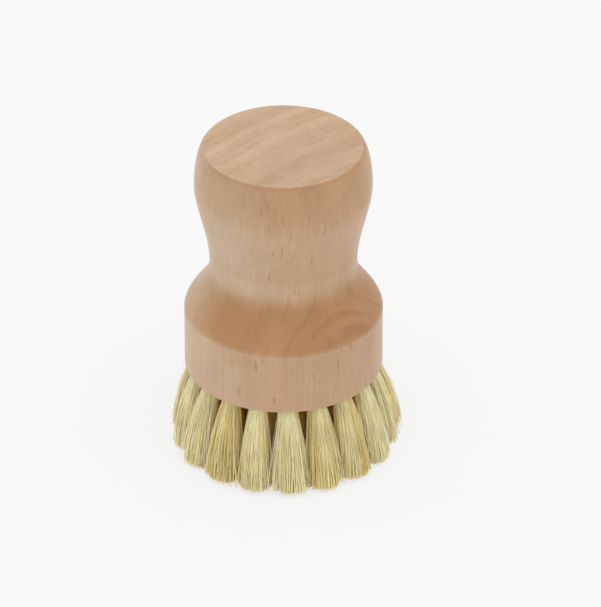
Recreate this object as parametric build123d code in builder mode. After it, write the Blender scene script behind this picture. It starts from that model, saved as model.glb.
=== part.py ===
from build123d import *
import math
import os

# Palm brush, in millimetres. The origin is on the brush's axis in the plane of
# the bristle tips, +Z points up to the crown that the palm presses on, and the
# brush is seen from -Y. A turned wooden handle is drilled from below in three
# rings and a centre hole, and each hole holds one tuft of plant fibre that is
# folded over a short flat wire anchor.

# Drilled block
hole_diameter = 5.0
hole_depth = 11.0
drill_point_angle = 118.0
wood_between_holes = 2.75
wood_outside_holes = 1.75

# Handle outline, stacked from the underside up
band_height = 18.2
shoulder_height = 14.7
waist_diameter = 40.7
neck_height = 24.6
knob_diameter = 48.9
dome_height = 11.7
crown_flat_diameter = 42.6
underside_round = 0.9
crown_round = 1.2

# How the outline bends: angles from upright, and the pull of each curve's ends
# as a share of the height of the stretch that it belongs to
shoulder_lean = 16.0
crown_lean = 47.0
shoulder_pull_share = 0.30
waist_pull_below_share = 0.47
waist_pull_above_share = 0.40
knob_pull_below_share = 0.265
knob_pull_above_share = 0.41
crown_pull_share = 0.16

# Rings of tufts, from the outside in
outer_tuft_count = 18
middle_tuft_count = 12
inner_tuft_count = 6
outer_phase = -87.5
middle_phase = -77.5
inner_phase = -87.5
ring_count = 3

# Tufts
bristle_height = 23.6
outer_tuft_lean = 10.5
tuft_tip_gap = 0.5
root_clearance = 0.05
root_recess = 0.7
strand_root_depth = 1.7
strand_root_inset = 0.25
fold_round = 1.2
tip_trim = 0.5

# Strands of one tuft: an inner and an outer circle of them
strand_sides = 4
inner_strand_count = 3
outer_strand_count = 9
strand_radius_share = 0.22
inner_strand_share = 0.38
strand_turn = 137.5

# Wire anchors
anchor_bite = 0.35
anchor_thickness = 0.45
anchor_width = 2.0
anchor_clearance = 0.05
fold_thickness = 1.3

# One overrun serves every cut that has to pass a face
overrun = 1.0

# Sizes that follow
hole_radius = hole_diameter / 2
ring_pitch = hole_diameter + wood_between_holes
outer_ring_radius = ring_count * ring_pitch
band_radius = outer_ring_radius + hole_radius + wood_outside_holes
lean_slope = math.tan(math.radians(outer_tuft_lean))
tip_pitch = ring_pitch + bristle_height * lean_slope / ring_count
tuft_tip_radius = (tip_pitch - tuft_tip_gap) / 2
plug_radius = hole_radius - root_clearance
tuft_root_radius = plug_radius - strand_root_inset
anchor_length = hole_diameter + 2 * anchor_bite
anchor_depth = hole_depth - fold_thickness - anchor_width / 2
strand_top = bristle_height + strand_root_depth
underside = Plane.XY.offset(bristle_height)

os.makedirs("parts", exist_ok=True)


# Every hole leans away from one point on the brush's axis, so its plane sits on
# the underside at its ring's radius, with Z up the hole and X along the ring
def hole_plane(ring, azimuth):
    angle = math.radians(azimuth)
    outward = Vector(math.cos(angle), math.sin(angle), 0)
    around = Vector(-math.sin(angle), math.cos(angle), 0)
    slope = lean_slope * ring / ring_count
    centre = outward * (ring * ring_pitch) + underside.origin
    return Plane(origin=centre, x_dir=around, z_dir=Vector(0, 0, 1) - outward * slope)


def ring_planes(ring, count, phase):
    return [hole_plane(ring, phase + 360 * number / count) for number in range(count)]


outer_planes = ring_planes(3, outer_tuft_count, outer_phase)
middle_planes = ring_planes(2, middle_tuft_count, middle_phase)
inner_planes = ring_planes(1, inner_tuft_count, inner_phase)
centre_planes = ring_planes(0, 1, inner_phase)
all_planes = outer_planes + middle_planes + inner_planes + centre_planes


# One drilled hole with its drill point, and the cut that an anchor's ends bite
# into its wall
with BuildPart() as hole_cut:
    Cylinder(hole_radius, hole_depth + overrun, align=(Align.CENTER, Align.CENTER, Align.MAX))
    point_height = hole_radius / math.tan(math.radians(drill_point_angle / 2))
    Cone(hole_radius, 0, point_height, align=(Align.CENTER, Align.CENTER, Align.MIN))
    with Locations((0, 0, anchor_depth - hole_depth)):
        Box(
            anchor_length + 2 * anchor_clearance,
            anchor_thickness + 2 * anchor_clearance,
            anchor_width + 2 * anchor_clearance,
        )


# The handle is one turned piece: a straight band, a crisp shoulder, a narrow
# waist, a knob and a flat crown with a rounded rim
band_top = bristle_height + band_height
waist = band_top + shoulder_height
knob = waist + neck_height
crown = knob + dome_height
waist_radius = waist_diameter / 2
knob_radius = knob_diameter / 2
crown_flat_radius = crown_flat_diameter / 2


# A point at a distance along a line that leans from upright towards the axis
def leaning(start, distance, lean):
    angle = math.radians(lean)
    return (start[0] - distance * math.sin(angle), start[1] + distance * math.cos(angle))


with BuildPart() as beech_handle:
    with BuildSketch(Plane.XZ):
        with BuildLine():
            rim_centre = (crown_flat_radius, crown - crown_round)
            rim_start = leaning(rim_centre, crown_round, crown_lean - 90)
            rim_middle = leaning(rim_centre, crown_round, (crown_lean - 90) / 2)
            Polyline(
                (crown_flat_radius, crown),
                (0, crown),
                (0, bristle_height),
                (band_radius, bristle_height),
                (band_radius, band_top),
            )
            Bezier(
                (band_radius, band_top),
                leaning((band_radius, band_top), shoulder_pull_share * shoulder_height, shoulder_lean),
                (waist_radius, waist - waist_pull_below_share * shoulder_height),
                (waist_radius, waist),
            )
            Bezier(
                (waist_radius, waist),
                (waist_radius, waist + waist_pull_above_share * neck_height),
                (knob_radius, knob - knob_pull_below_share * neck_height),
                (knob_radius, knob),
            )
            Bezier(
                (knob_radius, knob),
                (knob_radius, knob + knob_pull_above_share * dome_height),
                leaning(rim_start, -crown_pull_share * dome_height, crown_lean),
                rim_start,
            )
            ThreePointArc(rim_start, rim_middle, (crown_flat_radius, crown))
        make_face()
    revolve(axis=Axis.Z)
    fillet(beech_handle.edges().filter_by(GeomType.CIRCLE).sort_by(Axis.Z)[0], underside_round)
    with Locations(*[place.offset(hole_depth) for place in all_planes]):
        add(hole_cut.part, mode=Mode.SUBTRACT)
beech_handle.part.label = "beech_handle"
export_step(beech_handle.part, "parts/beech_handle.step")


# A strand keeps its place in the tuft from root to tip while the tuft widens,
# so strands spread like a fan and none cross
def strand_section(place, height, tuft_radius, spot_share, spot_angle):
    slope = place.z_dir / place.z_dir.Z
    centre = place.origin + slope * (height - bristle_height)
    strand_radius = strand_radius_share * tuft_radius
    reach = spot_share * (tuft_radius - strand_radius)
    angle = math.radians(spot_angle)
    spot = (centre.X + reach * math.cos(angle), centre.Y + reach * math.sin(angle))
    with BuildSketch(Plane.XY.offset(height)) as section:
        with Locations(spot):
            RegularPolygon(strand_radius, strand_sides, rotation=spot_angle)
    return section.sketch


def strand_spots(turn):
    inner = [(inner_strand_share, turn + 360 * n / inner_strand_count) for n in range(inner_strand_count)]
    outer = [(1, turn + 360 * n / outer_strand_count) for n in range(outer_strand_count)]
    return inner + outer


# A tuft is its packed root, folded over the anchor in the hole, and its strands,
# which stand on their ends: these are cut flat in one plane
def make_tuft(name, place, number):
    with BuildPart() as tuft:
        with BuildSketch(place.offset(root_recess)):
            Circle(plug_radius)
        extrude(amount=hole_depth - root_recess)
        fillet(tuft.edges().filter_by(GeomType.CIRCLE).sort_by(Axis.Z)[-1], fold_round)
        with Locations(place.offset(anchor_depth)):
            Box(
                hole_diameter,
                anchor_thickness + 2 * anchor_clearance,
                anchor_width + 2 * anchor_clearance,
                mode=Mode.SUBTRACT,
            )
        strands = []
        for share, angle in strand_spots(number * strand_turn):
            root = strand_section(place, strand_top, tuft_root_radius, share, angle)
            tip = strand_section(place, -tip_trim, tuft_tip_radius, share, angle)
            strands.append(loft([root, tip], ruled=True, mode=Mode.PRIVATE))
        add(strands)
        split(bisect_by=Plane.XY, keep=Keep.TOP)
    tuft.part.label = name
    export_step(tuft.part, f"parts/{name}.step")


for number, place in enumerate(outer_planes, start=1):
    make_tuft(f"outer_tuft_{number:02d}", place, number)
for number, place in enumerate(middle_planes, start=1):
    make_tuft(f"middle_tuft_{number:02d}", place, number)
for number, place in enumerate(inner_planes, start=1):
    make_tuft(f"inner_tuft_{number:02d}", place, number)
make_tuft("centre_tuft", centre_planes[0], 0)


# Each anchor is a short flat wire across its hole, inside the fold of its tuft,
# and its two ends are sunk in the wood
with BuildPart() as wire_anchors:
    with Locations(*[place.offset(anchor_depth) for place in all_planes]):
        Box(anchor_length, anchor_thickness, anchor_width)
wire_anchors.part.label = "wire_anchors"
export_step(wire_anchors.part, "parts/wire_anchors.step")
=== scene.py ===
# Palm brush: a turned beech handle, drilled from below, with thirty-seven tufts of plant fibre that are
# each folded over a flat wire anchor. Metres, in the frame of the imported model: +Z up, seen from -Y.
import math

import bpy
import numpy as np
from bpy.props import FloatProperty, FloatVectorProperty, IntProperty, PointerProperty
from mathutils import Matrix, Vector


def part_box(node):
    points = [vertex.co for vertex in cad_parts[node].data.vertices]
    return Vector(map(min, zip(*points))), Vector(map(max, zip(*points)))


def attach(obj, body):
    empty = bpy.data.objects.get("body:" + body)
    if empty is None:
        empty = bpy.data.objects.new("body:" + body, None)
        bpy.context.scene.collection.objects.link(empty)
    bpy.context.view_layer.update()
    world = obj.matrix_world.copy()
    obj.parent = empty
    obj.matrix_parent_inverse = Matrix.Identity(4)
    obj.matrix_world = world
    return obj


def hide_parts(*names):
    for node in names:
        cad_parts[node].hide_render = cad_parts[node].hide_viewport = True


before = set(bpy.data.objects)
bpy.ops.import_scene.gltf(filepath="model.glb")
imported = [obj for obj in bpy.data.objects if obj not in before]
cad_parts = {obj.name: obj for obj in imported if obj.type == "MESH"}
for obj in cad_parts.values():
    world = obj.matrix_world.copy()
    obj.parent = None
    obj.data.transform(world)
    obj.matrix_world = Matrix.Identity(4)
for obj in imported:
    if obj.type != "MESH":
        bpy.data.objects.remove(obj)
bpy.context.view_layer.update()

bl_info = {
    "name": "Palm brush",
    "version": (1, 0, 0),
    "blender": (4, 5, 0),
    "location": "3D View > Sidebar > Palm brush",
    "description": "Builds and finishes a turned palm brush with plant fibre tufts",
    "category": "Add Mesh",
}

MM = 0.001
handle_low, handle_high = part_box("beech_handle")


# Kinds of property

def size(name, description, millimetres):
    return FloatProperty(
        name=name, description=description, default=millimetres * MM, precision=5,
        subtype="DISTANCE", unit="LENGTH",
    )


def angle(name, description, degrees):
    return FloatProperty(
        name=name, description=description, default=math.radians(degrees), subtype="ANGLE", unit="ROTATION"
    )


def share(name, description, default):
    return FloatProperty(name=name, description=description, default=default, precision=3)


def count(name, description, default):
    return IntProperty(name=name, description=description, default=default, min=1)


def colour(name, description, red, green, blue):
    """A colour as a screen shows it, from 0 to 255"""
    linear = [((value / 255 + 0.055) / 1.055) ** 2.4 for value in (red, green, blue)]
    return FloatVectorProperty(
        name=name, description=description, default=linear, min=0, max=1, subtype="COLOR", size=3
    )


# Sizes and colours

class HandleSizes(bpy.types.PropertyGroup):
    band_height: size("Band height", "Straight band at the foot of the handle", 18.2)
    shoulder_height: size("Shoulder height", "From the band's top edge up to the waist", 14.7)
    waist_diameter: size("Waist diameter", "Narrowest part, where the fingers hold", 40.7)
    knob_diameter: size("Knob diameter", "Widest part above the waist", 48.9)
    dome_height: size("Dome height", "From the widest part of the knob up to the crown", 11.7)
    crown_flat_diameter: size("Crown flat diameter", "Flat crown inside its rounded rim", 42.6)
    crown_round: size("Crown round", "Radius of the crown's rim", 1.2)
    underside_round: size("Underside round", "Radius of the band's lower edge", 0.9)
    crease_round: size("Crease round", "Width of the worn edge where band and shoulder meet", 0.25)
    shoulder_lean: angle("Shoulder lean", "How far the shoulder leaves the band, from upright", 16)
    crown_lean: angle("Crown lean", "How far the dome leans where it meets the rim", 47)
    shoulder_pull: share("Shoulder pull", "Pull of the shoulder's foot, as a share of its height", 0.30)
    waist_pull_below: share("Waist pull below", "Pull of the waist, as a share of the shoulder", 0.47)
    waist_pull_above: share("Waist pull above", "Pull of the waist, as a share of the neck", 0.40)
    knob_pull_below: share("Knob pull below", "Pull of the knob, as a share of the neck", 0.265)
    knob_pull_above: share("Knob pull above", "Pull of the knob, as a share of the dome", 0.41)
    crown_pull: share("Crown pull", "Pull of the dome's top, as a share of the dome", 0.16)
    outline_steps: count("Outline steps", "Segments of each bent stretch of the outline", 20)
    turning_steps: count("Turning steps", "Segments round the handle", 192)


class DrillSizes(bpy.types.PropertyGroup):
    hole_diameter: size("Hole diameter", "Bore of each tuft's hole", 5.0)
    hole_depth: size("Hole depth", "Depth of each hole along its axis, without the drill point", 11.0)
    point_angle: angle("Drill point angle", "Full angle of the drill's point", 118)
    ring_pitch: size("Ring pitch", "Distance between two rings of holes on the underside", 7.75)
    outer_lean: angle("Outer lean", "How far the outermost holes lean from upright", 10.5)
    outer_count: count("Outer holes", "Holes in the outer ring", 18)
    middle_count: count("Middle holes", "Holes in the middle ring", 12)
    inner_count: count("Inner holes", "Holes in the inner ring", 6)
    outer_phase: angle("Outer phase", "Bearing of the outer ring's first hole", -87.5)
    middle_phase: angle("Middle phase", "Bearing of the middle ring's first hole", -77.5)
    inner_phase: angle("Inner phase", "Bearing of the inner ring's first hole", -87.5)
    drill_sides: count("Drill sides", "Segments round a hole", 32)


class TuftSizes(bpy.types.PropertyGroup):
    strand_count: count("Strands", "Strands in each tuft", 1300)
    strand_thickness: size("Strand thickness", "Across one strand at its root", 0.15)
    tip_thickness: share("Tip thickness", "A strand's tip as a share of its root", 1.15)
    tip_spread_around: size("Tip spread around", "Half the tuft's width at its tips, along the ring", 4.5)
    tip_spread_outward: size("Tip spread outward", "Half the tuft's depth at its tips, outward", 4.1)
    bulge: share("Bulge", "How far leaning tufts bow outward, as a share of their lean", 0.8)
    dome: size("Domed ends", "How much shorter a tuft's outermost strands end", 0.75)
    uneven: share("Uneven tufts", "Usual difference between tufts in fan and lean, as a share", 0.11)
    sway_right: size("Sway right", "How far all tips have bent over to the right in use", 0.8)
    sway_forward: size("Sway forward", "How far all tips have bent over to the front in use", 1.7)
    clump_count: count("Clumps", "Small bundles that a tuft's strands gather in", 60)
    clump_pull: share("Clump pull", "How far a strand's tip moves to the middle of its bundle", 0.15)
    scatter: share("Scatter", "Usual difference between a strand's place at its root and at its tip", 0.17)
    bow: size("Bow", "Usual bend in the middle of a strand", 0.34)
    stray_share: share("Strays", "Share of the strands that stand out of their tuft", 0.03)
    stray_spread: share("Stray spread", "How far a stray's tip goes past the others", 0.3)
    ragged: size("Ragged tips", "Usual difference in length", 0.45)
    broken_share: share("Broken strands", "Share of the strands that end short", 0.04)
    broken_length: size("Broken length", "Most that a broken strand lacks", 5.0)
    core_size: share("Core size", "Depth in the tuft, as a share, where its strands are darkest", 0.4)
    # Painted shade: the strands in a tuft's core are painted darker, as the shade between its strands
    core_painted_shade: share("Core shade", "How much darker the strands in the tuft's core are", 0.45)
    variation: count("Variation", "Start of the random numbers that the tufts draw", 9546)
    tone_variation: count("Tone variation", "Start of the random numbers for the tufts' tones", 19173)
    root_depth: size("Root depth", "How far the loose strands reach into their hole", 2.5)
    plug_recess: size("Plug recess", "From the underside up to the packed root", 0.7)
    plug_clearance: size("Plug clearance", "Between the packed root and its hole", 0.05)
    fold_round: size("Fold round", "Radius of the packed root's folded end", 1.2)
    fold_thickness: size("Fold thickness", "Fibre between the anchor and the bottom of the hole", 1.3)
    anchor_width: size("Anchor width", "Height of the flat wire in its hole", 2.0)
    anchor_thickness: size("Anchor thickness", "Thickness of the flat wire", 0.45)


class BrushColours(bpy.types.PropertyGroup):
    wood: colour("Wood", "Side grain of the turned beech", 204, 168, 134)
    # Paler side grain away from the pith, to the back and left: partly the sapwood's own tone, partly
    # painted light
    wood_pale_lit: colour("Pale wood", "Side grain far from the tree's middle", 208, 179, 147)
    wood_warm: colour("Warm wood", "Warmer patches of the side grain", 194, 150, 108)
    # Oblique grain: partly the darker tone of grain cut across, partly painted shade on the shoulder under
    # the knob and on the dome
    wood_oblique_shaded: colour("Oblique grain", "Where the turning cuts across the grain", 184, 136, 91)
    wood_crown: colour("Crown", "End grain of the crown", 200, 166, 134)
    wood_late: colour("Late wood", "Dark edge of a year's growth", 152, 106, 70)
    wood_ray: colour("Ray flecks", "Short dark flecks in the grain", 160, 116, 80)
    fibre_cream: colour("Cream fibre", "The palest strands", 254, 251, 222)
    fibre_straw: colour("Straw fibre", "Most strands", 251, 242, 199)
    fibre_ochre: colour("Ochre fibre", "The darker strands", 243, 225, 161)
    fibre_olive: colour("Olive fibre", "The few darkest strands", 222, 198, 118)
    # Painted shade: this darker, warmer colour stands for the shade deep between the tufts, near their holes
    fibre_painted_shade: colour("Root shade", "Fibre deep between the tufts", 254, 198, 88)
    steel: colour("Steel", "Drawn flat wire", 196, 196, 198)
    floor: colour("Floor", "The pale floor and what lies behind it", 249, 249, 249)


class StudioSizes(bpy.types.PropertyGroup):
    camera_distance: size("Camera distance", "From the brush's middle to the camera", 1600)
    camera_elevation: angle("Camera elevation", "Height of the camera above the horizon", 32.529)
    aim_height: size("Aim height", "Height on the brush's axis that the distance is taken from", 38.6)
    camera_pitch: angle("Camera pitch", "How far the camera looks down", 32.428)
    camera_yaw: angle("Camera yaw", "How far the camera turns to its right", 0.199)
    camera_lens: FloatProperty(
        name="Camera lens", description="Focal length on a 36 mm sensor", default=342.7, unit="CAMERA"
    )
    floor_width: size("Floor width", "Side of the square floor", 6000)
    sky_level: share("Sky level", "Even light from all round", 0.76)
    lamp_level: share("Lamp level", "Light of the overhead lamp on a level face", 0.24)
    lamp_softness: angle("Lamp softness", "How wide the lamp looks from the brush", 50)
    lamp_tilt: angle("Lamp tilt", "How far the lamp stands from straight above", 10)
    lamp_bearing: angle("Lamp bearing", "Bearing of the lamp from the front towards the left", -10)
    shadow_share: share("Shadow strength", "How much of its shadow the floor shows", 0.24)


# Mesh helpers

def set_mode(mode):
    bpy.ops.object.mode_set(mode=mode)


def deselect():
    if bpy.context.object and bpy.context.object.mode != "OBJECT":
        set_mode("OBJECT")
    bpy.ops.object.select_all(action="DESELECT")


def choose(piece):
    deselect()
    piece.select_set(True)
    bpy.context.view_layer.objects.active = piece


def select_parts(piece, kind, wanted):
    """Selects the faces or edges whose corners' heights pass the test, and nothing else, in edit mode"""
    choose(piece)
    set_mode("EDIT")
    bpy.ops.mesh.select_mode(type=kind)
    bpy.ops.mesh.select_all(action="DESELECT")
    set_mode("OBJECT")
    heights = [vertex.co.z for vertex in piece.data.vertices]
    parts = {"FACE": piece.data.polygons, "EDGE": piece.data.edges}[kind]
    for part in parts:
        part.select = wanted([heights[index] for index in part.vertices])
    set_mode("EDIT")


def edit_whole(piece, operation, **settings):
    """Runs one of edit mode's operators on all of the piece"""
    choose(piece)
    set_mode("EDIT")
    bpy.ops.mesh.select_all(action="SELECT")
    operation(**settings)
    set_mode("OBJECT")


def bake_place(piece):
    """Puts the piece's place into its mesh, so that the object sits at the origin"""
    choose(piece)
    bpy.ops.object.transform_apply(location=True, rotation=True, scale=True)


def cut_away(piece, cutter):
    """Cuts one closed mesh out of another and removes the cutter"""
    choose(piece)
    bpy.ops.object.modifier_add(type="BOOLEAN")
    modifier = piece.modifiers[-1]
    modifier.object, modifier.operation, modifier.solver = cutter, "DIFFERENCE", "MANIFOLD"
    bpy.ops.object.modifier_apply(modifier=modifier.name)
    remove(cutter)


def remove(piece):
    mesh = piece.data
    bpy.data.objects.remove(piece)
    bpy.data.meshes.remove(mesh)


def seat(piece, node, material):
    """The piece stands for its CAD node, rides on the brush and takes its finish"""
    piece.data.materials.clear()
    piece.data.materials.append(material)
    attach(piece, "root")
    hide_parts(node)


# The drilled holes

# Rings are counted from the centre
OUTER_RING = 3


class Hole:
    """A hole's place: its node's name, its ring, and the plane on the underside that it is drilled from"""

    def __init__(self, drill, name, ring, bearing):
        self.name, self.ring = name, ring
        self.outward = Vector((math.cos(bearing), math.sin(bearing), 0))
        self.around = Vector((-math.sin(bearing), math.cos(bearing), 0))
        self.slope = math.tan(drill.outer_lean) * ring / OUTER_RING
        self.centre = self.outward * ring * drill.ring_pitch + Vector((0, 0, handle_low.z))

    def matrix(self):
        up = (Vector((0, 0, 1)) - self.outward * self.slope).normalized()
        across = up.cross(self.around)
        turned = Matrix((self.around, across, up)).transposed().to_4x4()
        return Matrix.Translation(self.centre) @ turned


def all_holes(drill):
    rings = (
        ("outer_tuft", OUTER_RING, drill.outer_count, drill.outer_phase),
        ("middle_tuft", OUTER_RING - 1, drill.middle_count, drill.middle_phase),
        ("inner_tuft", OUTER_RING - 2, drill.inner_count, drill.inner_phase),
    )
    holes = [Hole(drill, "centre_tuft", 0, drill.inner_phase)]
    for name, ring, number, phase in rings:
        for index in range(number):
            bearing = phase + math.tau * index / number
            holes.append(Hole(drill, f"{name}_{index + 1:02d}", ring, bearing))
    return holes


def drill_shape(drill):
    """The space that the drill takes out, standing on the underside's plane with its point up"""
    overrun = drill.hole_diameter
    length = drill.hole_depth + overrun
    bpy.ops.mesh.primitive_cylinder_add(
        vertices=drill.drill_sides,
        radius=drill.hole_diameter / 2,
        depth=length,
        location=(0, 0, length / 2 - overrun),
    )
    drill_bit = bpy.context.object
    bake_place(drill_bit)
    select_parts(drill_bit, "FACE", lambda heights: min(heights) > 0)
    point_height = drill.hole_diameter / 2 / math.tan(drill.point_angle / 2)
    bpy.ops.mesh.extrude_region_move(TRANSFORM_OT_translate={"value": (0, 0, point_height)})
    bpy.ops.mesh.merge(type="CENTER")
    set_mode("OBJECT")
    return drill_bit


def drill_out(handle, drill):
    """Cuts all the holes at once, and raises an error if none is cut"""
    drill_bit = drill_shape(drill)
    cuts = []
    for hole in all_holes(drill):
        cut = drill_bit.copy()
        cut.data = drill_bit.data.copy()
        cut.data.transform(hole.matrix())
        bpy.context.collection.objects.link(cut)
        cuts.append(cut)
    remove(drill_bit)
    deselect()
    for cut in cuts:
        cut.select_set(True)
    bpy.context.view_layer.objects.active = cuts[0]
    bpy.ops.object.join()
    corners = len(handle.data.vertices)
    cut_away(handle, cuts[0])
    if len(handle.data.vertices) <= corners:
        raise RuntimeError("The holes weren't cut into the handle")


# The turned handle

MERGE_DISTANCE = 0.005 * MM
HANDLE_SMOOTH_TURN = math.radians(12)


def leaning(start, distance, lean):
    """A point at a distance along a line that leans from upright towards the axis"""
    return (start[0] - distance * math.sin(lean), start[1] + distance * math.cos(lean))


def arc_pull(radius, turn):
    """Length of the two pulls with which a Bezier curve follows an arc"""
    return 4 / 3 * math.tan(turn / 4) * radius


def handle_outline(sizes):
    """Stretches of the half outline from the crown's middle to the underside's middle. A straight one is its
    start and end, and a bent one the four points of a Bezier curve: start, its pull, the end's pull, end"""
    underside, crown = handle_low.z, handle_high.z
    band_radius = handle_high.x
    band_top = underside + sizes.band_height
    waist = band_top + sizes.shoulder_height
    knob = crown - sizes.dome_height
    neck_height = knob - waist
    waist_radius, knob_radius = sizes.waist_diameter / 2, sizes.knob_diameter / 2
    flat_radius = sizes.crown_flat_diameter / 2

    flat_edge = (flat_radius, crown)
    rim_turn = math.pi / 2 - sizes.crown_lean
    rim_pull = arc_pull(sizes.crown_round, rim_turn)
    rim_end = leaning((flat_radius, crown - sizes.crown_round), sizes.crown_round, -rim_turn)
    shoulder_foot = leaning((band_radius, band_top), sizes.crease_round, sizes.shoulder_lean)
    band_edge = (band_radius, band_top - sizes.crease_round)
    lower_edge = (band_radius, underside + sizes.underside_round)
    lower_pull = arc_pull(sizes.underside_round, math.pi / 2)
    underside_edge = (band_radius - sizes.underside_round, underside)
    return [
        ((0, crown), flat_edge),
        (flat_edge, (flat_radius + rim_pull, crown), leaning(rim_end, rim_pull, sizes.crown_lean), rim_end),
        (
            rim_end,
            leaning(rim_end, -sizes.crown_pull * sizes.dome_height, sizes.crown_lean),
            (knob_radius, knob + sizes.knob_pull_above * sizes.dome_height),
            (knob_radius, knob),
        ),
        (
            (knob_radius, knob),
            (knob_radius, knob - sizes.knob_pull_below * neck_height),
            (waist_radius, waist + sizes.waist_pull_above * neck_height),
            (waist_radius, waist),
        ),
        (
            (waist_radius, waist),
            (waist_radius, waist - sizes.waist_pull_below * sizes.shoulder_height),
            leaning(shoulder_foot, sizes.shoulder_pull * sizes.shoulder_height, sizes.shoulder_lean),
            shoulder_foot,
        ),
        (shoulder_foot, (band_radius, band_top), (band_radius, band_top), band_edge),
        (band_edge, lower_edge),
        (
            lower_edge,
            (band_radius, lower_edge[1] - lower_pull),
            (underside_edge[0] + lower_pull, underside),
            underside_edge,
        ),
        (underside_edge, (0, underside)),
    ]


def turn_outline(sizes):
    """The solid handle: the outline as a curve, made a mesh and spun once round the axis"""
    stretches = handle_outline(sizes)
    bpy.ops.curve.primitive_bezier_curve_add(location=(0, 0, 0))
    outline = bpy.context.object
    outline.data.resolution_u = sizes.outline_steps
    points = outline.data.splines[0].bezier_points
    points.add(len(stretches) - 1)
    for (start, *pulls, end), point, after in zip(stretches, points, points[1:]):
        point.co = (start[0], 0, start[1])
        after.co = (end[0], 0, end[1])
        point.handle_right_type = after.handle_left_type = "FREE" if pulls else "VECTOR"
        if pulls:
            point.handle_right = (pulls[0][0], 0, pulls[0][1])
            after.handle_left = (pulls[1][0], 0, pulls[1][1])
    choose(outline)
    bpy.ops.object.convert(target="MESH")
    handle = bpy.context.object
    whole_turn = {"angle": math.tau, "center": (0, 0, 0), "axis": (0, 0, 1)}
    edit_whole(handle, bpy.ops.mesh.spin, steps=sizes.turning_steps, **whole_turn)
    edit_whole(handle, bpy.ops.mesh.remove_doubles, threshold=MERGE_DISTANCE)
    edit_whole(handle, bpy.ops.mesh.normals_make_consistent, inside=False)
    return handle


class PALM_BRUSH_OT_handle(bpy.types.Operator):
    """Turn the handle on its outline, drill its holes and give it its beech finish"""

    bl_idname = "palm_brush.handle"
    bl_label = "Turned handle"

    def execute(self, context):
        sizes = context.scene.brush_handle
        deselect()
        handle = turn_outline(sizes)
        drill_out(handle, context.scene.brush_drill)
        edit_whole(handle, bpy.ops.mesh.quads_convert_to_tris, quad_method="BEAUTY", ngon_method="BEAUTY")
        bpy.ops.object.shade_smooth_by_angle(angle=HANDLE_SMOOTH_TURN)
        handle.name = handle.data.name = "turned_handle"
        seat(handle, "beech_handle", beech_material(context.scene.brush_colours, sizes))
        return {"FINISHED"}


# The tufts

STRAND_SIDES = 3
# Where a strand is cut across, from the hole's mouth to its tip, as shares of its free length
CUT_SHARES = (0.0, 0.2, 0.47, 0.74, 1.0)
FOLD_SEGMENTS = 4
STRAND_SMOOTH_TURN = math.radians(60)

# How a tuft's strands differ, as shares
BUNDLE_SCATTER = 0.05
CLUMP_PULL_RANGE = (0.6, 1.3)
STRAY_RANGE = (0.2, 1.2)
STRAY_SCATTER = 0.1
STRAY_BOW = 1.5
DOME_RANGE = (0, 1.3)
BROKEN_RANGE = (0.2, 1)
THICKNESS_SCATTER = 0.12
THICKNESS_RANGE = (0.7, 1.35)

# What a strand, its bundle and its tuft each give to its tone, and the packed root's tone
TONE_SHARES = (0.3, 0.35, 0.35)
ROOT_TONE = 0.3
# An outer tuft's strands count as inside the brush by half at its middle, and more towards the axis
INNER_MIDDLE = 0.5
INNER_SLOPE = 0.6
MAP_MARGIN = 0.06


def strand_shape():
    """One strand, modelled once: a rod of unit thickness and length along Z, cut across in steps"""
    half = 1 / 2
    bpy.ops.mesh.primitive_cylinder_add(
        vertices=STRAND_SIDES, radius=half, depth=1, location=(0, 0, half), calc_uvs=True
    )
    strand = bpy.context.object
    bake_place(strand)
    select_parts(strand, "EDGE", lambda heights: max(heights) - min(heights) > half)
    bpy.ops.mesh.subdivide(number_cuts=len(CUT_SHARES) - 1)
    set_mode("OBJECT")
    return strand


def packed_root_shape(tuft, drill):
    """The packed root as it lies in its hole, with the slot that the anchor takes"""
    top = drill.hole_depth
    bpy.ops.mesh.primitive_cylinder_add(
        vertices=drill.drill_sides,
        radius=drill.hole_diameter / 2 - tuft.plug_clearance,
        depth=top - tuft.plug_recess,
        location=(0, 0, (top + tuft.plug_recess) / 2),
    )
    root = bpy.context.object
    bake_place(root)
    select_parts(root, "EDGE", lambda heights: min(heights) > top - tuft.fold_round / 2)
    bpy.ops.mesh.bevel(offset=tuft.fold_round, segments=FOLD_SEGMENTS, affect="EDGES")
    deselect()
    anchor_depth = top - tuft.fold_thickness - tuft.anchor_width / 2
    bpy.ops.mesh.primitive_cube_add(size=1, location=(0, 0, anchor_depth))
    slot = bpy.context.object
    slot.scale = (
        drill.hole_diameter,
        tuft.anchor_thickness + 2 * tuft.plug_clearance,
        tuft.anchor_width + 2 * tuft.plug_clearance,
    )
    bake_place(slot)
    cut_away(root, slot)
    return root


def disc_spots(number, turn):
    """Places spread evenly over a disc of radius 1, in a sunflower's order"""
    order = np.arange(number)
    reach = np.sqrt((order + 0.5) / number)
    bearing = turn + order * math.pi * (3 - math.sqrt(5))
    return np.stack([reach * np.cos(bearing), reach * np.sin(bearing)], 1)


def strand_spots(tuft, rng):
    """Places of a tuft's strands on a disc of radius 1: evenly spread at the root, and at the tip scattered
    and gathered in bundles. Also each strand's bundle, and which strands are strays"""
    number = tuft.strand_count
    wider, moved = rng.normal(1, tuft.uneven), rng.normal(0, tuft.uneven, 2)
    roots = disc_spots(number, rng.uniform(0, math.tau))
    tips = roots + rng.normal(0, tuft.scatter, (number, 2))
    middles = disc_spots(tuft.clump_count, rng.uniform(0, math.tau))
    middles += rng.normal(0, BUNDLE_SCATTER, middles.shape)
    bundle = np.linalg.norm(tips[:, None] - middles[None], axis=2).argmin(1)
    pull = tuft.clump_pull * rng.uniform(*CLUMP_PULL_RANGE, (number, 1))
    tips += (middles[bundle] - tips) * pull
    stray = rng.random(number) < tuft.stray_share
    tips[stray] *= 1 + tuft.stray_spread * rng.uniform(*STRAY_RANGE, (stray.sum(), 1))
    tips[stray] += rng.normal(0, STRAY_SCATTER, (stray.sum(), 2))
    return roots, tips * wider + moved, bundle, stray


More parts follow.
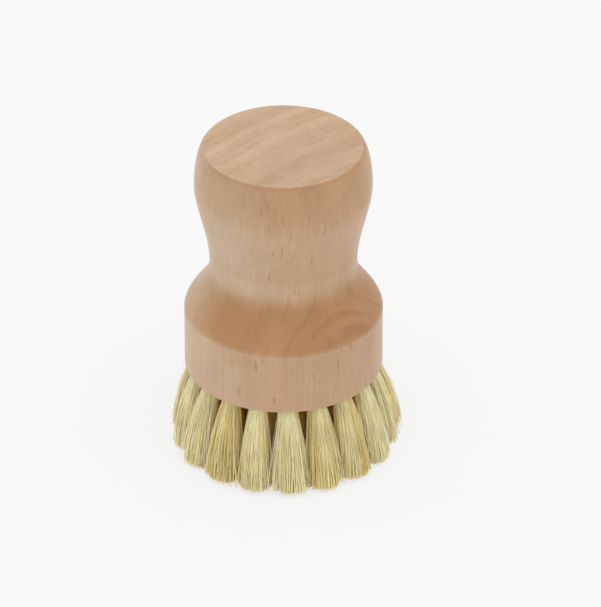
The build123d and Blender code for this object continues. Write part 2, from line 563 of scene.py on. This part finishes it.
def strand_ends(tuft, tips, rng):
    """How far below the underside each strand ends: ragged, shorter at the tuft's edge, and a few broken"""
    ragged = np.abs(rng.normal(0, tuft.ragged, len(tips)))
    lacking = ragged + tuft.dome * np.sum(tips**2, 1).clip(*DOME_RANGE)
    broken = rng.random(len(tips)) < tuft.broken_share
    lacking[broken] += rng.uniform(*BROKEN_RANGE, broken.sum()) * tuft.broken_length
    return handle_low.z - lacking


def tuft_lines(tuft, drill, hole, rng):
    """Centre lines of a tuft's strands in the hole's own directions, as an array of strand, step and
    (around, outward, down), with each strand's bundle and its place at the root"""
    roots, tips, bundle, stray = strand_spots(tuft, rng)
    root_radius = (drill.hole_diameter - tuft.strand_thickness) / 2 - tuft.plug_clearance
    root_spots = roots * root_radius
    tip_spots = tips * (tuft.tip_spread_around, tuft.tip_spread_outward)
    ends = strand_ends(tuft, tips, rng)

    # Steps start inside the hole, and part is how far a step is on its way from the underside to the floor
    drop = handle_low.z
    steps = np.array((-tuft.root_depth / drop, *CUT_SHARES))
    down = steps * np.where(steps > 0, ends[:, None], drop)
    part = np.clip(down / drop, 0, 1)
    lines = np.empty((*down.shape, 3))
    lines[:, :, :2] = root_spots[:, None] + (tip_spots - root_spots)[:, None] * part[:, :, None]
    bow = rng.normal(0, tuft.bow, tips.shape) * (1 + STRAY_BOW * stray[:, None])
    lines[:, :, :2] += bow[:, None] * np.sin(math.pi * part)[:, :, None]
    lines[:, :, 1] += hole.slope * (down + tuft.bulge * drop * part * (1 - part))
    sway = Vector((tuft.sway_right, -tuft.sway_forward, 0))
    lines[:, :, :2] += part[:, :, None] * (sway.dot(hole.around), sway.dot(hole.outward))
    lines[:, :, 2] = down
    return lines, bundle, roots


def strand_places(tuft, hole, strand, lines, rng):
    """Where each strand's points lie, and how far down"""
    number, steps = lines.shape[:2]
    shape = np.array([vertex.co for vertex in strand.vertices])
    step = np.rint(shape[:, 2] * (steps - 1)).astype(int)
    thickness = tuft.strand_thickness * rng.normal(1, THICKNESS_SCATTER, number).clip(*THICKNESS_RANGE)
    widening = np.interp(np.arange(steps), (0, steps - 1), (1, tuft.tip_thickness))
    turn = rng.uniform(0, math.tau, number)
    cos, sin = np.cos(turn)[:, None], np.sin(turn)[:, None]
    across = thickness[:, None] * widening[step][None]
    local = lines[:, step]
    around = local[:, :, 0] + across * (shape[:, 0] * cos - shape[:, 1] * sin)
    outward = local[:, :, 1] + across * (shape[:, 0] * sin + shape[:, 1] * cos)
    down = local[:, :, 2]
    places = (
        np.array(hole.centre)
        + around[:, :, None] * np.array(hole.around)
        + outward[:, :, None] * np.array(hole.outward)
        - down[:, :, None] * np.array((0, 0, 1))
    )
    return places, down


def strand_tones(tuft, bundle, roots, tuft_tone, rng):
    """Each strand's tone, from 0, dark, to 1, pale. It shares its bundle's and its tuft's, and the core is
    painted darker, as shade inside the tuft"""
    own_share, bundle_share, tuft_share = TONE_SHARES
    bundle_tone = rng.random(tuft.clump_count)[bundle]
    tone = own_share * rng.random(len(roots)) + bundle_share * bundle_tone + tuft_share * tuft_tone
    # The core's strands are painted darker, as shade inside the tuft
    core = np.clip(1 - np.linalg.norm(roots, axis=1), 0, tuft.core_size) / tuft.core_size
    return (tone - tuft.core_painted_shade * core).clip(0, 1)


def add_attribute(mesh, name, values):
    layer = mesh.attributes.new(name=name, type="FLOAT", domain="POINT")
    layer.data.foreach_set("value", np.asarray(values, np.float32).ravel())


def lay_out_map(mesh, number, strand, root):
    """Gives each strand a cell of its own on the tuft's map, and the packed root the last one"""
    side = math.ceil(math.sqrt(number + 1))
    cells = np.array([divmod(index, side) for index in range(number + 1)]) + MAP_MARGIN
    on_strand, on_root = [
        (1 - 2 * MAP_MARGIN) * np.array([item.uv for item in shape.uv_layers[0].data])
        for shape in (strand, root)
    ]
    spots = np.concatenate([(cells[:-1, None] + on_strand).reshape(-1, 2), cells[-1] + on_root]) / side
    layer = mesh.uv_layers.new(name="OFBake")
    layer.data.foreach_set("uv", spots.astype(np.float32).ravel())


def tuft_mesh(tuft, drill, hole, strand, root, seed, tuft_tone):
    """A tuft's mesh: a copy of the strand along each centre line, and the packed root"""
    rng = np.random.default_rng(seed)
    lines, bundle, roots = tuft_lines(tuft, drill, hole, rng)
    places, down = strand_places(tuft, hole, strand, lines, rng)
    tones = strand_tones(tuft, bundle, roots, tuft_tone, rng)
    number, corners = down.shape
    faces = [
        [corner + index * corners for corner in face.vertices]
        for index in range(number)
        for face in strand.polygons
    ]
    placed = root.copy()
    placed.transform(hole.matrix())
    root_places = np.array([vertex.co for vertex in placed.vertices])
    faces += [[corner + number * corners for corner in face.vertices] for face in placed.polygons]
    mesh = bpy.data.meshes.new(hole.name + "_fibre")
    mesh.from_pydata(np.concatenate([places.reshape(-1, 3), root_places]).tolist(), [], faces)

    # What the finish follows: tone, how far down a point is, and how far inside the brush its strand starts,
    # which places the painted shade between the tufts
    drop = handle_low.z
    inner = np.ones(number)
    if hole.ring == OUTER_RING:
        inner = np.clip(INNER_MIDDLE - INNER_SLOPE * roots[:, 1], 0, 1)
    of_root = np.ones(len(root_places))
    add_attribute(mesh, "tone", np.concatenate([tones.repeat(corners), ROOT_TONE * of_root]))
    add_attribute(mesh, "down", np.concatenate([down.ravel(), drop - root_places[:, 2]]) / drop)
    add_attribute(mesh, "inner", np.concatenate([inner.repeat(corners), of_root]))
    lay_out_map(mesh, number, strand, placed)
    bpy.data.meshes.remove(placed)
    return mesh


class PALM_BRUSH_OT_tufts(bpy.types.Operator):
    """Fill every hole with a fanned tuft of plant fibre, folded over its anchor"""

    bl_idname = "palm_brush.tufts"
    bl_label = "Fibre tufts"

    def execute(self, context):
        tuft, drill = context.scene.brush_tufts, context.scene.brush_drill
        deselect()
        strand = strand_shape()
        deselect()
        root = packed_root_shape(tuft, drill)
        material = fibre_material(context.scene.brush_colours)
        holes = all_holes(drill)
        tones = np.random.default_rng(tuft.tone_variation).random(len(holes))
        for seed, (hole, tone) in enumerate(zip(holes, tones), start=tuft.variation):
            mesh = tuft_mesh(tuft, drill, hole, strand.data, root.data, seed, tone)
            piece = bpy.data.objects.new(mesh.name, mesh)
            context.collection.objects.link(piece)
            choose(piece)
            bpy.ops.object.shade_smooth_by_angle(angle=STRAND_SMOOTH_TURN)
            seat(piece, hole.name, material)
        remove(strand)
        remove(root)
        return {"FINISHED"}


class PALM_BRUSH_OT_anchors(bpy.types.Operator):
    """Give the flat wire anchors their drawn steel finish"""

    bl_idname = "palm_brush.anchors"
    bl_label = "Wire anchors"

    def execute(self, context):
        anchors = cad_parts["wire_anchors"]
        material = steel_material(context.scene.brush_colours)
        for slot in anchors.material_slots:
            slot.material = material
        return {"FINISHED"}


# Node helpers

def feed(tree, socket, value):
    if isinstance(value, bpy.types.NodeSocket):
        tree.links.new(value, socket)
    elif socket.type == "RGBA" and len(value) == 3:
        socket.default_value = (*value, 1)
    else:
        socket.default_value = value


def give(tree, node, sockets):
    """Gives each named socket of a node a value or a link"""
    for name, value in sockets.items():
        feed(tree, node.inputs[name], value)
    return node


def add(tree, kind, sockets=None, **settings):
    node = tree.nodes.new("ShaderNode" + kind)
    for name, value in settings.items():
        setattr(node, name, value)
    return give(tree, node, sockets or {})


def calc(tree, operation, *values):
    node = add(tree, "Math", operation=operation)
    return give(tree, node, dict(enumerate(values))).outputs[0]


def product(tree, first, *others):
    for value in others:
        first = calc(tree, "MULTIPLY", first, value)
    return first


def scaled(tree, value, by, plus):
    return calc(tree, "MULTIPLY_ADD", value, by, plus)


def vector_calc(tree, operation, *values, output=0):
    node = add(tree, "VectorMath", operation=operation)
    return give(tree, node, dict(enumerate(values))).outputs[output]


def fade(tree, value, start, end, low=0.0, high=1.0):
    """low where value is at start or before, high at end or past it, and smooth between"""
    sockets = {"Value": value, "From Min": start, "From Max": end, "To Min": low, "To Max": high}
    node = add(tree, "MapRange", sockets, interpolation_type="SMOOTHSTEP")
    return node.outputs["Result"]


def blend(tree, amount, first, second):
    node = add(tree, "Mix", data_type="RGBA")
    return give(tree, node, {0: amount, 6: first, 7: second}).outputs[2]


def noise(tree, place, detail=3.0, roughness=0.5, dimensions="3D"):
    """Smooth noise with patches about 1 wide"""
    sockets = {"Scale": 1.0, "Detail": detail, "Roughness": roughness}
    sockets["W" if dimensions == "1D" else "Vector"] = place
    return add(tree, "TexNoise", sockets, noise_dimensions=dimensions).outputs[0]


def ramp(tree, amount, stops):
    """A colour ramp from (place, colour) pairs"""
    node = add(tree, "ValToRGB", {"Fac": amount})
    while len(node.color_ramp.elements) < len(stops):
        node.color_ramp.elements.new(1)
    for element, (place, shade) in zip(node.color_ramp.elements, stops):
        element.position = place
        element.color = (*shade, 1)
    return node.outputs["Color"]


def object_place(tree):
    """The place on the piece, in metres"""
    return add(tree, "TexCoord").outputs["Object"]


def attribute(tree, name):
    return add(tree, "Attribute", attribute_name=name).outputs["Fac"]


def separate(tree, vector):
    return add(tree, "SeparateXYZ", {"Vector": vector}).outputs


def relief(tree, height, strength, depth):
    sockets = {"Strength": strength, "Distance": depth, "Height": height}
    return add(tree, "Bump", sockets).outputs[0]


def new_material(name):
    material = bpy.data.materials.new(name)
    material.use_nodes = True
    tree = material.node_tree
    return material, tree, tree.nodes["Principled BSDF"]


def new_group(name, inputs, outputs):
    """A shader node group with named float or vector sockets"""
    tree = bpy.data.node_groups.new(name, "ShaderNodeTree")
    for label, kind in inputs:
        tree.interface.new_socket(label, in_out="INPUT", socket_type=kind)
    for label, kind in outputs:
        tree.interface.new_socket(label, in_out="OUTPUT", socket_type=kind)
    return tree, tree.nodes.new("NodeGroupInput").outputs, tree.nodes.new("NodeGroupOutput").inputs


# Effects that several materials share

# How closely red, green and blue each follow a tone, so that what is darker is also a little redder
TONE_WEIGHTS = (0.85, 1.05, 1.3)


def streaks_group():
    """Fine streaks along one direction: the vector is divided by the streaks' size along each axis"""
    if found := bpy.data.node_groups.get("Fine streaks"):
        return found
    inputs = (("Vector", "NodeSocketVector"), ("Size", "NodeSocketVector"), ("Contrast", "NodeSocketFloat"))
    tree, given, made = new_group("Fine streaks", inputs, (("Value", "NodeSocketFloat"),))
    place = vector_calc(tree, "DIVIDE", given["Vector"], given["Size"])
    centred = calc(tree, "SUBTRACT", noise(tree, place, detail=4.0, roughness=0.6), 0.5)
    tree.links.new(product(tree, centred, given["Contrast"]), made["Value"])
    return tree


def mottle_group():
    """Soft patches of tone, from minus to plus the contrast"""
    if found := bpy.data.node_groups.get("Soft mottle"):
        return found
    inputs = (("Vector", "NodeSocketVector"), ("Size", "NodeSocketFloat"), ("Contrast", "NodeSocketFloat"))
    tree, given, made = new_group("Soft mottle", inputs, (("Value", "NodeSocketFloat"),))
    place = vector_calc(tree, "DIVIDE", given["Vector"], given["Size"])
    centred = fade(tree, noise(tree, place, detail=2.0), 0.3, 0.7, -1.0, 1.0)
    tree.links.new(product(tree, centred, given["Contrast"]), made["Value"])
    return tree


def streaks(tree, place, lengths, contrast):
    sockets = {"Vector": place, "Size": lengths, "Contrast": contrast}
    return add(tree, "Group", sockets, node_tree=streaks_group()).outputs["Value"]


def mottle(tree, place, length, contrast):
    sockets = {"Vector": place, "Size": length, "Contrast": contrast}
    return add(tree, "Group", sockets, node_tree=mottle_group()).outputs["Value"]


def toned(tree, shade, amount):
    """The colour made lighter or darker by a share"""
    channels = [scaled(tree, amount, weight, 1.0) for weight in TONE_WEIGHTS]
    combined = add(tree, "CombineXYZ", dict(enumerate(channels)))
    return vector_calc(tree, "MULTIPLY", shade, combined.outputs[0])


# Beech. Lengths are millimetres, and three of them are towards the pith, round the pith and up

PITH_DISTANCE = 160.0  # from the brush's axis to the middle of the tree
PITH_BEARING = math.radians(-48)
RING_WIDTH = 3.6
RING_WANDER = 5.0
GRAIN_WANDER = 5.0
BAND_EDGE_SPAN = (-0.6, 1.7)  # heights from the band's top edge over which the shoulder's look starts
WAIST_SPAN = (-2.5, 5.5)  # heights from the waist over which the dome's look takes over
CROWN_LEVELS = (0.82, 0.94)  # how level the surface is where it becomes the crown


class BeechCut:
    """Where a point lies in the tree, how the turned surface cuts the grain there, and where shade is
    painted on it
    """

    def __init__(self, tree, sizes):
        place = vector_calc(tree, "SCALE", object_place(tree))
        place.node.inputs["Scale"].default_value = 1 / MM
        spot = separate(tree, place)
        self.right, self.height = spot["X"], spot["Z"]
        self.find_grain(tree, place)
        self.find_slants_and_shade(tree, sizes)

    def find_grain(self, tree, place):
        """The grain's own directions, how far a point is towards the pith, and slow patches"""
        turning = {"Vector": place, "Rotation": (0, 0, -PITH_BEARING)}
        turned = add(tree, "Mapping", turning).outputs[0]
        slow = vector_calc(tree, "MULTIPLY", turned, (0.03, 0.03, 0.012))
        slow = {"Vector": slow, "Scale": 1.0, "Detail": 2.0}
        wander = add(tree, "TexNoise", slow).outputs["Color"]
        wander = vector_calc(tree, "SUBTRACT", wander, (0.5, 0.5, 0.5))
        wander = vector_calc(tree, "MULTIPLY", wander, (GRAIN_WANDER, GRAIN_WANDER, 0))
        self.grain = vector_calc(tree, "ADD", turned, wander)
        self.inward = separate(tree, self.grain)["X"]
        self.patch = noise(tree, vector_calc(tree, "MULTIPLY", self.grain, (0.09, 0.09, 0.045)), detail=2.0)

    def find_slants_and_shade(self, tree, sizes):
        """How level the surface is, how far it faces the pith or away, and where it cuts the grain at a
        slant or, on the crown, square across. The slant's mask also holds painted shade on the shoulder
        under the knob and on the dome, lighter away from the pith"""
        normal = add(tree, "NewGeometry").outputs["Normal"]
        to_pith = (math.cos(PITH_BEARING), math.sin(PITH_BEARING), 0)
        facing = vector_calc(tree, "DOT_PRODUCT", normal, to_pith, output="Value")
        self.facing = calc(tree, "ABSOLUTE", facing)
        level = self.level = separate(tree, normal)["Z"]
        self.crown = fade(tree, level, *CROWN_LEVELS)

        band_top = (handle_low.z + sizes.band_height) / MM
        waist = band_top + sizes.shoulder_height / MM
        self.waist_span = [waist + offset for offset in WAIST_SPAN]
        low = fade(tree, self.height, *reversed(self.waist_span))
        # Painted shade is lighter on the side away from the pith, to the back and left
        heartward_shade = fade(tree, self.inward, -18.0, 3.0, 0.15, 1.0)
        over_band = fade(tree, self.height, *[band_top + offset for offset in BAND_EDGE_SPAN], 0.6, 1.0)
        # The shoulder by the crease and the dome: partly darker grain cut at a slant, partly painted shade
        # under the knob and on the dome
        self.shoulder = product(tree, fade(tree, level, -0.2, 0.45), over_band, low, heartward_shade)
        steep = fade(tree, level, -0.3, 0.15, 0.0, 0.45)
        dome = calc(tree, "ADD", steep, fade(tree, level, 0.3, 0.75, 0.0, 0.2))
        dome = product(tree, calc(tree, "SUBTRACT", dome, low), heartward_shade)
        self.slanted_and_shaded = calc(tree, "MAXIMUM", self.shoulder, dome)


def year_rings(tree, cut):
    """Soft late wood at each year's edge, most plain where the shoulder faces the pith or away from it, and
    slow bands of paler and darker years"""
    flat = vector_calc(tree, "MULTIPLY", cut.grain, (1, 1, 0))
    radius = vector_calc(tree, "DISTANCE", flat, (PITH_DISTANCE, 0, 0), output="Value")
    wander = noise(tree, calc(tree, "MULTIPLY", radius, 0.21), detail=1.0, dimensions="1D")
    year = calc(tree, "DIVIDE", scaled(tree, wander, RING_WANDER, radius), RING_WIDTH)
    season = calc(tree, "FRACT", year)
    late = product(tree, fade(tree, season, 0.55, 0.93), fade(tree, season, 1.0, 0.95))
    patchy = noise(tree, vector_calc(tree, "MULTIPLY", cut.grain, (0.16, 0.11, 0.06)))
    plain = product(tree, cut.shoulder, fade(tree, cut.facing, 0.3, 0.85, 0.12, 1.0))
    shown = scaled(tree, plain, 0.8, 0.05)
    shown = scaled(tree, cut.crown, 0.12, shown)
    late = product(tree, late, fade(tree, patchy, 0.38, 0.6), shown)
    bands = noise(tree, calc(tree, "MULTIPLY", radius, 0.15), detail=2.5, dimensions="1D")
    return late, fade(tree, bands, 0.32, 0.68, -1.0, 1.0)


def flecks(tree, grain, cell, plate, present):
    """Thin plates that stand along the direction of the pith, in a share of the cells. plate is half a
    fleck's size as a share of its cell"""
    cells = vector_calc(tree, "DIVIDE", grain, cell)
    voronoi = add(tree, "TexVoronoi", {"Vector": cells, "Scale": 1.0}, feature="F1").outputs
    offset = vector_calc(tree, "SUBTRACT", cells, voronoi["Position"])
    reach = vector_calc(tree, "LENGTH", vector_calc(tree, "DIVIDE", offset, plate), output="Value")
    chance = add(tree, "SeparateColor", {"Color": voronoi["Color"]}).outputs
    weight = product(tree, fade(tree, chance["Red"], 1 - present, 1.05 - present), chance["Green"])
    return product(tree, fade(tree, reach, 1.1, 0.3), weight)


def ray_flecks(tree, cut):
    """Ray flecks, which show least on the end grain and on the quarter, and the crown's own"""
    large = calc(tree, "MULTIPLY", flecks(tree, cut.grain, (22.0, 2.6, 7.0), (0.42, 0.09, 0.34), 0.85), 0.8)
    small = flecks(tree, cut.grain, (9.0, 1.3, 4.0), (0.42, 0.13, 0.4), 0.8)
    side = scaled(tree, small, 0.6, large)
    upright = fade(tree, cut.level, 0.6, 0.1, 0.1, 1.0)
    side = product(tree, side, upright, fade(tree, cut.facing, 0.2, 0.6, 0.15, 1.0))
    ends = flecks(tree, cut.grain, (2.6, 11.0, 90.0), (0.1, 0.36, 0.5), 0.55)
    ends = product(tree, ends, cut.crown)
    return scaled(tree, ends, 0.4, side)


def beech_colour(tree, cut, colours):
    """Colours by the cut: darker where it slants, partly as grain and partly as painted shade; paler away
    from the pith, partly as sapwood and partly as painted light; and warmer patches
    """
    # Paler away from the pith: partly the sapwood's own tone, partly painted light on the back and left
    shade = blend(tree, fade(tree, cut.inward, 20.0, 5.0), colours.wood, colours.wood_pale_lit)
    # Slanted grain, darker partly by its cut and partly by painted shade under the knob and on the dome
    shade = blend(tree, cut.slanted_and_shaded, shade, colours.wood_oblique_shaded)
    shade = blend(tree, cut.crown, shade, colours.wood_crown)
    return blend(tree, fade(tree, cut.patch, 0.45, 0.72, 0.0, 0.22), shade, colours.wood_warm)


def beech_tone(tree, cut, bands):
    """Patches, fibres, the years' bands, short strokes on the crown, paler away from the pith partly as
    painted light, painted shade on the dome, and a painted highlight on the crown's rim
    """
    tone = mottle(tree, cut.grain, 9.0, contrast=0.035)
    tone = calc(tree, "ADD", tone, streaks(tree, cut.grain, (0.4, 0.4, 9.0), contrast=0.16))
    tone = calc(tree, "ADD", tone, streaks(tree, cut.grain, (1.2, 1.2, 16.0), contrast=0.26))
    strokes = streaks(tree, cut.grain, (0.9, 5.0, 40.0), contrast=0.3)
    tone = scaled(tree, strokes, cut.crown, tone)
    band_depth = scaled(tree, cut.crown, 0.065, 0.012)
    tone = scaled(tree, bands, band_depth, tone)
    # Lighter away from the pith and darker towards it: partly the wood's own tone, partly painted light
    pith_and_light_slope = scaled(tree, cut.crown, -0.0012, -0.0015)
    tone = scaled(tree, cut.inward, pith_and_light_slope, tone)

    # Painted shade on the dome, deepest under the crown and less towards the right
    painted_dome_shade = product(
        tree,
        fade(tree, cut.level, 0.0, 0.62),
        fade(tree, cut.level, *reversed(CROWN_LEVELS)),
        fade(tree, cut.height, *cut.waist_span, 0.35, 1.0),
        fade(tree, cut.right, 17.0, 5.0, -0.05, -0.14),
    )
    # The patchy lighter line along the crown's rim is a painted highlight
    edge = product(tree, fade(tree, cut.level, 0.8, 0.9), fade(tree, cut.level, 1.0, 0.98))
    worn = product(tree, edge, fade(tree, cut.patch, 0.3, 0.55, 0.0, 0.08))
    return calc(tree, "ADD", calc(tree, "ADD", tone, painted_dome_shade), worn)


def beech_material(colours, sizes):
    """Fine sanded beech with upright grain: yearly rings round a far pith, dark ray flecks, fine fibres and
    pores, with painted shade on the shoulder and dome, painted light away from the pith and a painted
    highlight on the crown's rim"""
    material, tree, surface = new_material("Turned beech")
    cut = BeechCut(tree, sizes)
    late, bands = year_rings(tree, cut)
    fleck = ray_flecks(tree, cut)
    shade = toned(tree, beech_colour(tree, cut, colours), beech_tone(tree, cut, bands))
    shade = blend(tree, calc(tree, "MULTIPLY", late, 0.55), shade, colours.wood_late)
    shade = blend(tree, calc(tree, "MINIMUM", fleck, 0.75), shade, colours.wood_ray)
    pores = streaks(tree, cut.grain, (0.22, 0.22, 3.0), contrast=1.0)
    height = scaled(tree, fleck, -0.3, pores)
    height = scaled(tree, late, -0.3, height)
    give(tree, surface, {
        "Base Color": shade,
        "Normal": relief(tree, height, strength=0.22, depth=0.05 * MM),
        "Roughness": scaled(tree, pores, 0.25, 0.56),
        "Sheen Weight": 0.4,
        "Sheen Roughness": 0.3,
    })
    return material


# Fibre and steel, in metres

def fibre_material(colours):
    """Dry plant fibre: each strand has its own tone, painted shade lies deep between the tufts by their
    holes, and fine streaks run along it
    """
    material, tree, surface = new_material("Plant fibre")
    place, down = object_place(tree), attribute(tree, "down")
    stops = (
        (0.05, colours.fibre_olive),
        (0.25, colours.fibre_ochre),
        (0.55, colours.fibre_straw),
        (0.95, colours.fibre_cream),
    )
    fine = streaks(tree, place, (0.25 * MM, 0.25 * MM, 3 * MM), contrast=0.15)
    tone = calc(tree, "ADD", fine, mottle(tree, place, 6 * MM, contrast=0.05))
    shade = toned(tree, ramp(tree, attribute(tree, "tone"), stops), tone)
    # Painted shade: strands inside the brush take a darker, warmer colour near their holes
    inside = fade(tree, attribute(tree, "inner"), 0.35, 0.9)
    deep = product(tree, inside, fade(tree, down, 0.75, 0.1))
    shade = blend(tree, deep, shade, colours.fibre_painted_shade)
    give(tree, surface, {
        "Base Color": toned(tree, shade, fade(tree, down, 0.95, 1.0, 0.0, -0.06)),
        "Normal": relief(tree, fine, strength=0.3, depth=0.03 * MM),
        "Roughness": 0.6,
        "Specular IOR Level": 0.25,
    })
    return material


def steel_material(colours):
    """Drawn steel wire with fine lines along it"""
    material, tree, surface = new_material("Drawn steel wire")
    place = object_place(tree)
    lines = streaks(tree, place, (4 * MM, 4 * MM, 0.08 * MM), contrast=0.5)
    patches = mottle(tree, place, 1.5 * MM, contrast=0.04)
    tone = scaled(tree, lines, 0.2, patches)
    give(tree, surface, {
        "Base Color": toned(tree, colours.steel, tone),
        "Metallic": 1.0,
        "Normal": relief(tree, lines, strength=0.2, depth=0.02 * MM),
        "Roughness": scaled(tree, lines, 0.3, 0.34),
    })
    return material


# The studio

SENSOR_WIDTH = 36
SIGHT_RANGE = (0.05, 20)  # metres from the camera


def seen_directly(tree):
    """1 where the camera, a mirror or glass looks, and 0 where light is gathered"""
    path = add(tree, "LightPath").outputs
    mirrored = calc(tree, "MAXIMUM", path["Is Glossy Ray"], path["Is Transmission Ray"])
    return calc(tree, "MAXIMUM", path["Is Camera Ray"], mirrored)


def floor_material(colours, shadow_share):
    """A pale matt floor that shows part of its shadow"""
    material, tree, surface = new_material("Pale floor")
    patches = mottle(tree, object_place(tree), 0.4, contrast=0.002)
    shade = toned(tree, colours.floor, patches)
    give(tree, surface, {"Base Color": shade, "Roughness": 0.9, "Specular IOR Level": 0.0})
    glow = add(tree, "Emission", {"Color": colours.floor, "Strength": 1.0}).outputs[0]
    amount = calc(tree, "MULTIPLY", seen_directly(tree), 1 - shadow_share)
    mixed = add(tree, "MixShader", {0: amount, 1: surface.outputs[0], 2: glow}).outputs[0]
    give(tree, tree.nodes["Material Output"], {"Surface": mixed})
    return material


def light_world(colours, level):
    """Even light from all round, behind which the camera sees the floor's colour"""
    world = bpy.data.worlds.new("Studio")
    world.use_nodes = True
    tree = world.node_tree
    tree.nodes.clear()
    light = add(tree, "Background", {"Color": (1, 1, 1), "Strength": level}).outputs[0]
    backdrop = add(tree, "Background", {"Color": colours.floor, "Strength": 1.0}).outputs[0]
    mixed = add(tree, "MixShader", {0: seen_directly(tree), 1: light, 2: backdrop}).outputs[0]
    add(tree, "OutputWorld", {"Surface": mixed})
    bpy.context.scene.world = world


def hang_lamp(sizes):
    bpy.ops.object.light_add(type="SUN", location=(0, 0, 1))
    lamp = bpy.context.object
    lamp.name = "overhead_lamp"
    lamp.data.angle = sizes.lamp_softness
    lamp.data.energy = sizes.lamp_level * math.pi / math.cos(sizes.lamp_tilt)
    lamp.rotation_euler = (sizes.lamp_tilt, 0, -sizes.lamp_bearing)


def place_camera(sizes):
    back = sizes.camera_distance * math.cos(sizes.camera_elevation)
    up = sizes.camera_distance * math.sin(sizes.camera_elevation) + sizes.aim_height
    turn = (math.pi / 2 - sizes.camera_pitch, 0, -sizes.camera_yaw)
    bpy.ops.object.camera_add(location=(0, -back, up), rotation=turn)
    camera = bpy.context.object
    camera.name = "studio_camera"
    camera.data.lens = sizes.camera_lens
    camera.data.sensor_width = SENSOR_WIDTH
    camera.data.clip_start, camera.data.clip_end = SIGHT_RANGE
    bpy.context.scene.camera = camera


class PALM_BRUSH_OT_studio(bpy.types.Operator):
    """Set up the pale floor, the soft light and the camera"""

    bl_idname = "palm_brush.studio"
    bl_label = "Studio"

    def execute(self, context):
        colours, sizes = context.scene.brush_colours, context.scene.brush_studio
        deselect()
        bpy.ops.mesh.primitive_plane_add(size=sizes.floor_width, location=(0, 0, 0))
        floor = context.object
        floor.name = floor.data.name = "studio_floor"
        floor.data.materials.append(floor_material(colours, sizes.shadow_share))
        light_world(colours, sizes.sky_level)
        hang_lamp(sizes)
        place_camera(sizes)
        context.scene.view_settings.view_transform = "Standard"
        return {"FINISHED"}


class PALM_BRUSH_PT_panel(bpy.types.Panel):
    """Lists the brush's sizes, colours and steps"""

    bl_label = "Palm brush"
    bl_idname = "PALM_BRUSH_PT_panel"
    bl_space_type = "VIEW_3D"
    bl_region_type = "UI"
    bl_category = "Palm brush"

    def draw(self, context):
        for name, label, group in GROUPS:
            box = self.layout.box()
            box.label(text=label)
            for value in group.__annotations__:
                box.prop(getattr(context.scene, name), value)
        for operator in OPERATORS:
            self.layout.operator(operator.bl_idname)


GROUPS = (
    ("brush_handle", "Handle", HandleSizes),
    ("brush_drill", "Drilled holes", DrillSizes),
    ("brush_tufts", "Tufts", TuftSizes),
    ("brush_colours", "Colours", BrushColours),
    ("brush_studio", "Studio", StudioSizes),
)
OPERATORS = (PALM_BRUSH_OT_handle, PALM_BRUSH_OT_tufts, PALM_BRUSH_OT_anchors, PALM_BRUSH_OT_studio)


def register():
    for name, label, group in GROUPS:
        bpy.utils.register_class(group)
        setattr(bpy.types.Scene, name, PointerProperty(type=group, name=label))
    for operator in OPERATORS:
        bpy.utils.register_class(operator)
    bpy.utils.register_class(PALM_BRUSH_PT_panel)


def unregister():
    bpy.utils.unregister_class(PALM_BRUSH_PT_panel)
    for operator in reversed(OPERATORS):
        bpy.utils.unregister_class(operator)
    for name, label, group in reversed(GROUPS):
        delattr(bpy.types.Scene, name)
        bpy.utils.unregister_class(group)


def main():
    register()
    bpy.ops.palm_brush.handle()
    bpy.ops.palm_brush.tufts()
    bpy.ops.palm_brush.anchors()
    bpy.ops.palm_brush.studio()


if __name__ == "__main__":
    main()
